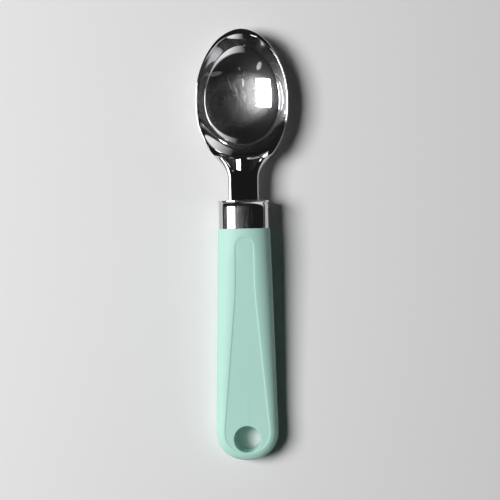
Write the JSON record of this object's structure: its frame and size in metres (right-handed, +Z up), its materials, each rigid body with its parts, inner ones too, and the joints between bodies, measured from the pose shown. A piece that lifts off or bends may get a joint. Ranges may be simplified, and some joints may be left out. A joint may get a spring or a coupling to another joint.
{
  "type": "scoop spoon",
  "caption": "Scoop spoon for ice cream: a deep oval chromed bowl on a short flared neck, an oval ferrule and a moulded grip with a hang hole.",
  "frame": {"origin": "centre of the overall box, on the table that the scoop lies on", "axes": "+Z up from the table and out of the bowl's mouth, +Y along the scoop from the hang hole to the bowl's tip, +X across"},
  "size_m": [0.0438, 0.203, 0.0198],
  "materials": {
    "chrome": "bright chrome, satin inside the bowl",
    "ferrule_chrome": "bright chrome",
    "mint_plastic": "fine satin moulding",
    "spring_steel": "plain"
  },
  "bodies": {
    "root": {"scoop_head": "chrome", "ferrule": "ferrule_chrome", "handle_grip": "mint_plastic", "spring_pin": "spring_steel"}
  },
  "joints": []
}
